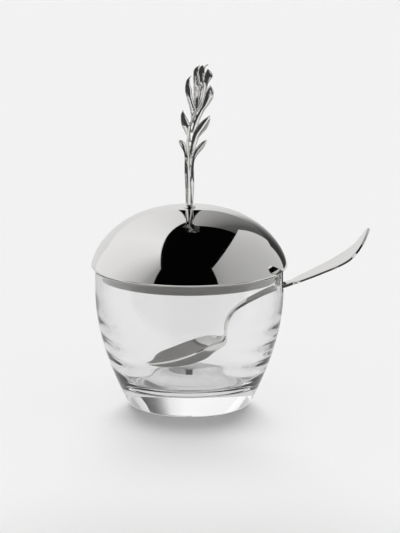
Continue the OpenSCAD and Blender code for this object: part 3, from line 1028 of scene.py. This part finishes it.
@dataclass
class LeafFinial:
    """The cast leaf: a rib that sways from the stem to the tip, with cupped lobes on both sides."""

    rib: tuple[Point2, ...] = (
        (0.0, 0.0), (0.0, 4.9), (-0.1, 9.9), (-0.3, 16.5), (-0.5, 22.5), (-0.7, 27.5), (-0.7, 31.5),
        (-0.3, 35.6), (0.3, 39.1), (1.4, 42.3), (2.9, 45.9), (4.6, 48.6), (6.1, 51.6), (7.0, 54.6),
        (7.5, 58.2), (7.4, 61.7), (7.2, 64.7), (7.3, 67.5), (8.0, 69.2), (8.7, 69.9), (9.4, 70.1))
    rib_radius: tuple[float, ...] = (1.6, 1.35, 1.05, 0.85, 0.75, 0.7, 0.65, 0.6, 0.4)
    rib_forward: tuple[float, ...] = (0.0, 0.1, 0.4, 0.8, 0.9, 0.9, 0.9, 1.2, 2.6)
    edge_share: float = 0.45
    grain: float = 0.2
    ease_factor: float = 0.5
    ease_passes: int = 4

    def foot_height(self) -> float:
        """Height at which the leaf's stem meets its foot."""
        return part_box("leaf_finial")[0].z / MM

    def lobe_skin(self, lobe: Lobe, steps: int = 44, across: int = 13) -> tuple[np.ndarray, Faces]:
        """Thick cupped sheet of one lobe.

        Args:
            lobe: the lobe.
            steps: stretches from root to tip.
            across: points from edge to edge.

        Returns:
            The points and the faces of a closed skin.
        """
        left, right = resample(lobe.left, steps + 1), resample(lobe.right, steps + 1)
        t = np.linspace(0, 1, steps + 1)
        forward = np.interp(t, np.linspace(0, 1, len(lobe.forward)), lobe.forward)
        v = np.linspace(-1, 1, across)
        width = np.linalg.norm(right - left, axis=1)
        share = (v + 1) / 2
        place = left[:, None, :] * (1 - share[None, :, None]) + right[:, None, :] * share[None, :, None]
        lift = forward[:, None] + lobe.cup * width[:, None] * (v[None, :] ** 2)
        swell = np.sqrt(np.clip(1 - v[None, :] ** 4, 0, 1))
        half = lobe.sheet / 2 * (self.edge_share + (1 - self.edge_share) * swell)
        half = half * np.ones_like(lift)
        front = np.stack([place[..., 0], -(lift + half), place[..., 1]], axis=-1)
        rear = np.stack([place[..., 0], -(lift - half), place[..., 1]], axis=-1)
        ring = np.concatenate([front, rear[:, ::-1]], axis=1)
        count = ring.shape[1]
        faces = tube_faces(steps + 1, count)
        last = steps * count
        for i in range(across - 1):
            faces.append((i + 1, i, count - 1 - i, count - 2 - i))
            faces.append((last + i, last + i + 1, last + count - 2 - i, last + count - 1 - i))
        return ring.reshape(-1, 3), faces

    def rib_skin(self, steps: int = 160, sides: int = 16) -> tuple[np.ndarray, Faces]:
        """Round rib from the foot to the hooked tip.

        Args:
            steps: stretches along it.
            sides: points round it.

        Returns:
            The points and the faces of a closed skin.
        """
        line = resample(self.rib, steps + 1)
        t = np.linspace(0, 1, steps + 1)
        forward = np.interp(t, np.linspace(0, 1, len(self.rib_forward)), self.rib_forward)
        radius = np.interp(t, np.linspace(0, 1, len(self.rib_radius)), self.rib_radius)
        middle = np.stack([line[:, 0], -forward, line[:, 1]], axis=1)
        way = np.gradient(middle, axis=0)
        way /= np.linalg.norm(way, axis=1)[:, None]
        depth = np.array([0.0, 1.0, 0.0])
        side = np.cross(depth, way)
        side /= np.linalg.norm(side, axis=1)[:, None]
        deep = np.cross(way, side)
        a = np.linspace(0, 2 * math.pi, sides, endpoint=False)
        ring = (middle[:, None] + radius[:, None, None]
                * (np.cos(a)[None, :, None] * side[:, None] + np.sin(a)[None, :, None] * deep[:, None]))
        faces = tube_faces(steps + 1, sides)
        faces.append(tuple(range(sides))[::-1])
        faces.append(tuple(range(steps * sides, (steps + 1) * sides)))
        return ring.reshape(-1, 3), faces

    def build(self, finish: bpy.types.Material) -> bpy.types.Object:
        """Cast the rib and the lobes into one skin: join, remesh to one grain size and ease it.

        Args:
            finish: its material.

        Returns:
            The piece.
        """
        base = np.array([0.0, 0.0, self.foot_height()])
        skins = [self.rib_skin()] + [self.lobe_skin(lobe) for lobe in LOBES]
        LOG.info("leaf lobes: %s", ", ".join(lobe.name for lobe in LOBES))
        all_points: list[np.ndarray] = []
        all_faces: Faces = []
        for skin_points, skin_faces in skins:
            first = sum(len(p) for p in all_points)
            all_points.append(skin_points + base)
            all_faces += [tuple(first + i for i in face) for face in skin_faces]
        source = mesh_object("leaf pattern", np.vstack(all_points), all_faces)
        remesh = source.modifiers.new("cast", "REMESH")
        remesh.mode = "VOXEL"
        remesh.voxel_size = self.grain * MM
        remesh.use_smooth_shade = True
        ease = source.modifiers.new("ease", "SMOOTH")
        ease.factor = self.ease_factor
        ease.iterations = self.ease_passes
        piece = evaluated_copy("leaf_casting", source)
        settle(piece, Body.LID, Slot.SILVER, finish, "leaf_finial")
        return piece


@dataclass(frozen=True)
class Card:
    """One upright card of the light tent, given by the ways that it is seen from the pot.

    Its tones are placed along it by tangent, from the way that it faces, and lean moves them with height.
    """

    name: str
    facing: float
    distance: float
    start: float
    end: float
    top: float
    tones: Tones
    lean: float = 0.0


@dataclass
class Studio:
    """Floor, light and the tent of cards that the silver and the glass mirror."""

    camera_azimuth: float = 4.0
    camera_elevation: float = 12.5
    camera_distance: float = 1800.0
    lens: float = 248.0
    aim_right: float = 5.2
    aim_height: float = 68.9
    pale: str = "#EFEFEF"
    dark: str = "#030303"
    even_light: float = 0.35
    lamp_elevation: float = 9.0
    lamp_angle: float = 18.0
    lamp_strength: float = 2.75
    lamp_turns: tuple[float, ...] = (-16.0, -8.0, 0.0, 8.0, 16.0)
    middle_height: float = 85.0
    card_foot: float = 0.2
    # Painted caustic: how much brighter the cards glow where they are seen through the glass.
    painted_caustic_gain: float = 1.36
    floor_half: float = 6000.0
    floor_level: float = -0.05
    floor_glow: float = 0.15
    floor_tones: Tones = (
        (0, "#D6D6D6"), (94, "#E4E4E4"), (114, "#3C3C3C"), (294, "#383838"), (336, "#404040"),
        (399, "#101010"), (445, "#E0E0E0"), (840, "#F0F0F0"))
    # Disc of painted shadow under the foot in the floor's mirrored tones, and how dim it is.
    foot_disc: Point2 = (21.0, 29.0)
    foot_shade: float = 0.2
    cards: tuple[Card, ...] = (
        Card("left card", -112, 600, -178, -41, 70.3,
             ((-2.9, "#D8D8D8"), (-0.7, "#EDEDED"), (0.1, "#E4E4E4"), (0.8, "#C4C4C4"), (1.7, "#9A9A9A"),
              (2.9, "#868686")), 0.33),
        Card("right card", 88, 700, 33, 147, 59,
             ((-1.4, "#959595"), (-0.9, "#A2A2A2"), (0.0, "#B4B4B4"), (1.6, "#CCCCCC"))),
        Card("back card", 185, 1300, 136, 178, 57,
             ((-1.0, "#484848"), (-0.6, "#585858"), (-0.3, "#8A8A8A"), (0.0, "#B4B4B4"))),
        Card("low back card", 180, 500, 140, 228, 19,
             ((-0.9, "#343434"), (-0.577, "#383838"), (-0.445, "#585858"), (-0.374, "#707070"),
              (-0.306, "#909090"), (-0.249, "#B4B4B4"), (-0.194, "#D0D0D0"), (-0.05, "#E0E0E0"),
              (1.0, "#DCDCDC"))),
    )

    def direction(self, azimuth: float, elevation: float) -> Vector:
        """Way from the pot to a place in the studio.

        Args:
            azimuth: degrees from the camera's side, positive to the picture's right.
            elevation: degrees above level.

        Returns:
            A unit vector in the frame's axes.
        """
        turn = math.radians(self.camera_azimuth + azimuth)
        rise = math.radians(elevation)
        return Vector((math.sin(turn) * math.cos(rise), -math.cos(turn) * math.cos(rise), math.sin(rise)))

    def look_back(self, thing: bpy.types.Object, towards: Vector) -> None:
        """Turn a camera or a lamp to look back along the way that it lies."""
        thing.rotation_euler = (-towards).to_track_quat("-Z", "Y").to_euler()

    def place_camera(self) -> None:
        """Set the camera where the photograph was taken from."""
        data = bpy.data.cameras.new("camera")
        data.lens = self.lens
        data.sensor_width = 36.0
        data.clip_start = 0.05
        data.clip_end = 20.0
        camera = new_object("camera", data)
        aim = self.direction(90, 0) * self.aim_right * MM + Vector((0, 0, self.aim_height * MM))
        towards = self.direction(0, self.camera_elevation)
        camera.location = aim + towards * self.camera_distance * MM
        self.look_back(camera, towards)
        bpy.context.scene.camera = camera

    def light_world(self) -> None:
        """Give even white light all round, a pale backdrop for the camera, and a dark room for silver."""
        world = bpy.data.worlds.new("studio")
        bpy.context.scene.world = world
        world.use_nodes = True
        tree = world.node_tree
        tree.nodes.clear()
        path = add_node(tree, "ShaderNodeLightPath")
        even, pale, dark = (
            add_node(tree, "ShaderNodeBackground", {
                "Color": linear(colour), "Strength": strength}).outputs["Background"]
            for colour, strength in (("#FFFFFF", self.even_light), (self.pale, 1.0), (self.dark, 1.0)))
        lit = add_node(tree, "ShaderNodeMixShader", {
            "Fac": path.outputs["Is Camera Ray"], 1: even, 2: pale})
        mirrored = add_node(tree, "ShaderNodeMixShader", {
            "Fac": path.outputs["Is Glossy Ray"], 1: lit.outputs["Shader"], 2: dark})
        add_node(tree, "ShaderNodeOutputWorld", {"Surface": mirrored.outputs["Shader"]})

    def set_lamps(self) -> None:
        """Set a low row of soft lamps behind the pot, so that its base shades the floor in front."""
        data = bpy.data.lights.new("low lamp", "SUN")
        data.angle = math.radians(self.lamp_angle)
        data.energy = self.lamp_strength
        for turn in self.lamp_turns:
            lamp = new_object("low lamp", data)
            towards = self.direction(180 + turn, self.lamp_elevation)
            lamp.location = towards
            self.look_back(lamp, towards)
            lamp.visible_camera = False
            lamp.visible_glossy = False
            lamp.visible_transmission = False

    def tones_along(self, tree: bpy.types.NodeTree, place: bpy.types.NodeSocket, way: Point3,
                    tones: Tones) -> bpy.types.NodeSocket:
        """Tones that change along one way.

        Args:
            tree: the material's tree.
            place: the socket of the place in metres.
            way: the way, as long as one metre is in the unit of the tones' places.
            tones: place and colour of each stop.

        Returns:
            The colour's socket.
        """
        along = add_node(tree, "ShaderNodeVectorMath", {0: place, 1: way}, operation="DOT_PRODUCT")
        first, last = tones[0][0], tones[-1][0]
        share = add_node(tree, "ShaderNodeMapRange", {
            "Value": along.outputs["Value"], "From Min": first, "From Max": last})
        ramp = add_node(tree, "ShaderNodeValToRGB", {"Fac": share.outputs["Result"]})
        stops = ramp.color_ramp.elements
        while len(stops) < len(tones):
            stops.new(0.5)
        for stop, (at, colour) in zip(stops, tones):
            stop.position = (at - first) / (last - first)
            stop.color = linear(colour)
        return ramp.outputs["Color"]

    def raise_card(self, card: Card) -> None:
        """Build one card: an upright plane with soft tones along it, seen only in silver and glass.

        Seen through one or two faces of glass it glows brighter by a set gain, a painted caustic that
        stands in for the light which the thick base gathers.

        Args:
            card: the card.
        """
        out, along = self.direction(card.facing, 0), self.direction(card.facing + 90, 0)
        height = card.distance * math.tan(math.radians(card.top))
        low, high = (math.tan(math.radians(turn - card.facing)) for turn in (card.start, card.end))
        points = [out * card.distance + along * card.distance * share + Vector((0, 0, up))
                  for share in (low, high) for up in (self.card_foot, height + self.middle_height)]
        piece = mesh_object(card.name, points, [(0, 2, 3, 1)])
        made, tree, place = blank_material(card.name + " paper")
        reach = card.distance * MM
        way = (along.x / reach, along.y / reach, -card.lean / reach)
        tone = self.tones_along(tree, place, way, card.tones)
        path = add_node(tree, "ShaderNodeLightPath")
        # One face of glass or two: 1.5, give or take up to 1.
        through_base = add_node(tree, "ShaderNodeMath", {
            0: path.outputs["Transmission Depth"], 1: 1.5, 2: 1.0}, operation="COMPARE")
        # Painted caustic: the glow is raised where the card is seen through the glass.
        strength = add_node(tree, "ShaderNodeMath", {
            0: through_base.outputs["Value"], 1: self.painted_caustic_gain - 1, 2: 1.0}, operation="MULTIPLY_ADD")
        glow = add_node(tree, "ShaderNodeEmission", {
            "Color": tone, "Strength": strength.outputs["Value"]})
        add_node(tree, "ShaderNodeOutputMaterial", {"Surface": glow.outputs["Emission"]})
        piece.data.materials.append(made)
        piece.visible_camera = False
        piece.visible_diffuse = False
        piece.visible_shadow = False

    def lay_floor(self) -> None:
        """Lay the pale floor, of which silver and glass see other tones than the camera does.

        Those tones change with the way to the front, and the disc under the foot is dimmed as painted
        shadow where a ray has crossed four faces of glass or more, as it has in the thick base's own
        mirror images.
        """
        size, level = self.floor_half, self.floor_level
        floor = mesh_object("floor", [(-size, -size, level), (size, -size, level), (size, size, level),
                                      (-size, size, level)], [(0, 1, 2, 3)])
        made, tree, place = blank_material("matt white board")
        path = add_node(tree, "ShaderNodeLightPath")
        matt = add_node(tree, "ShaderNodeBsdfDiffuse", {"Color": linear(self.pale)})
        lift = add_node(tree, "ShaderNodeEmission", {"Color": linear(self.pale), "Strength": 1.0})
        board = add_node(tree, "ShaderNodeMixShader", {
            "Fac": self.floor_glow, 1: matt.outputs["BSDF"], 2: lift.outputs["Emission"]})
        front = self.direction(0, 0)
        tone = self.tones_along(tree, place, (front.x / MM, front.y / MM, 0.0), self.floor_tones)
        # Painted shadow: inside the foot's disc the mirrored tone dims to foot_shade, for the shade under
        # the foot.
        off_axis = add_node(tree, "ShaderNodeVectorMath", {0: place}, operation="LENGTH")
        open_floor = add_node(tree, "ShaderNodeMapRange", {
            "Value": off_axis.outputs["Value"], "From Min": self.foot_disc[0] * MM,
            "From Max": self.foot_disc[1] * MM, "To Min": self.foot_shade, "To Max": 1.0})
        # 3.5 lies between three faces of glass and four, and 0.5 between no mirror and one.
        shallow = add_node(tree, "ShaderNodeMath", {
            0: path.outputs["Transmission Depth"], 1: 3.5}, operation="LESS_THAN")
        glow = add_node(tree, "ShaderNodeMath", {
            0: open_floor.outputs["Result"], 1: shallow.outputs["Value"]}, operation="MAXIMUM")
        mirrored = add_node(tree, "ShaderNodeEmission", {
            "Color": tone, "Strength": glow.outputs["Value"]})
        mirrored_once = add_node(tree, "ShaderNodeMath", {
            0: path.outputs["Glossy Depth"], 1: 0.5}, operation="GREATER_THAN")
        only = add_node(tree, "ShaderNodeMath", {
            0: mirrored_once.outputs["Value"], 1: path.outputs["Diffuse Depth"]}, operation="SUBTRACT",
            use_clamp=True)
        seen = add_node(tree, "ShaderNodeMixShader", {
            "Fac": only.outputs["Value"], 1: board.outputs["Shader"], 2: mirrored.outputs["Emission"]})
        add_node(tree, "ShaderNodeOutputMaterial", {"Surface": seen.outputs["Shader"]})
        floor.data.materials.append(made)

    def build(self) -> None:
        """Set up the camera, the light and the surroundings."""
        self.place_camera()
        self.light_world()
        self.set_lamps()
        self.lay_floor()
        for card in self.cards:
            self.raise_card(card)


def main() -> None:
    """Build every piece in order, dress what stays of the frame, and set the studio."""
    logging.basicConfig(level=logging.INFO, format="%(name)s: %(message)s")
    bpy.context.scene.view_settings.view_transform = "Standard"
    silver = BUFFED.material()
    glass = ClearGlass().material()
    brass = TurnedBrass().material()
    lathe = Lathe()
    pot = GlassPot()
    pot.build(glass)
    # The dome's inside takes silver whose darker colour is painted shade.
    Lid(pot).build(lathe, silver, PAINTED_SHADE_INSIDE.material(), SATIN.material())
    Spoon(pot).build(silver)
    LeafFinial().build(TUMBLED.material())
    for node, finish in (("finial_foot", silver), ("stud_washer", silver), ("finial_stud", brass),
                         ("cap_nut", brass)):
        dress(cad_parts[node].data, finish)
        LOG.info("%s: kept from the frame", node)
    Studio().build()


if __name__ == "__main__":
    main()
